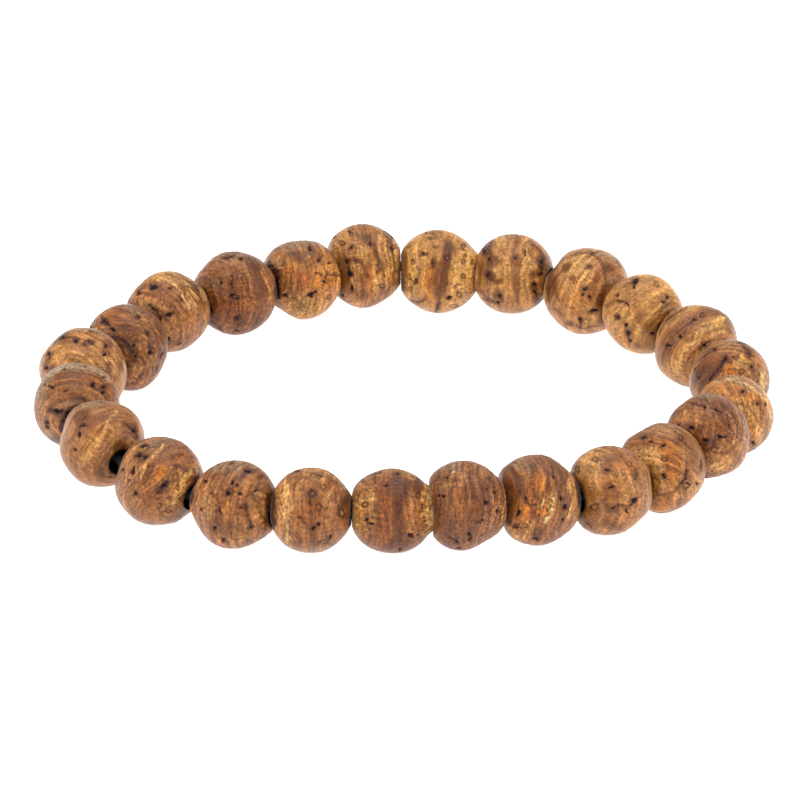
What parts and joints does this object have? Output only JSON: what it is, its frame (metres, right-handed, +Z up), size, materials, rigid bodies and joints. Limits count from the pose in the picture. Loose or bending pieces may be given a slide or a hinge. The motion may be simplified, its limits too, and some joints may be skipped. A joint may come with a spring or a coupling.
{
  "type": "beaded mala bracelet on elastic",
  "caption": "Closed wrist bracelet of drilled barrel-round wooden beads with eyed, striped natural grain, strung on one black elastic cord and lying flat in an oval.",
  "frame": {"origin": "on the table, under the middle of the bracelet's outline", "axes": "+X along the oval's longer side, +Y across it, +Z up out of the wrist opening"},
  "size_m": [0.0727, 0.0627, 0.0094],
  "materials": {
    "wood_golden": "satin, hand-polished, golden tan with darker growth lines, eyes and pits",
    "wood_brown": "satin, hand-polished, mid brown with striped grain and black pits",
    "wood_dark": "satin, hand-polished, reddish to purple brown with orange streaks",
    "elastic": "matt black elastic cord"
  },
  "bodies": {
    "root": {"bead_01": "wood_golden", "bead_02": "wood_brown", "bead_03": "wood_dark", "bead_04": "wood_dark", "bead_05": "wood_golden", "bead_06": "wood_brown", "bead_07": "wood_dark", "bead_08": "wood_brown", "bead_09": "wood_brown", "bead_10": "wood_golden", "bead_11": "wood_golden", "bead_12": "wood_golden", "bead_13": "wood_golden", "bead_14": "wood_golden", "bead_15": "wood_brown", "bead_16": "wood_brown", "bead_17": "wood_dark", "bead_18": "wood_golden", "bead_19": "wood_brown", "bead_20": "wood_golden", "bead_21": "wood_brown", "bead_22": "wood_golden", "bead_23": "wood_golden", "bead_24": "wood_brown", "elastic_cord": "elastic"}
  },
  "joints": []
}
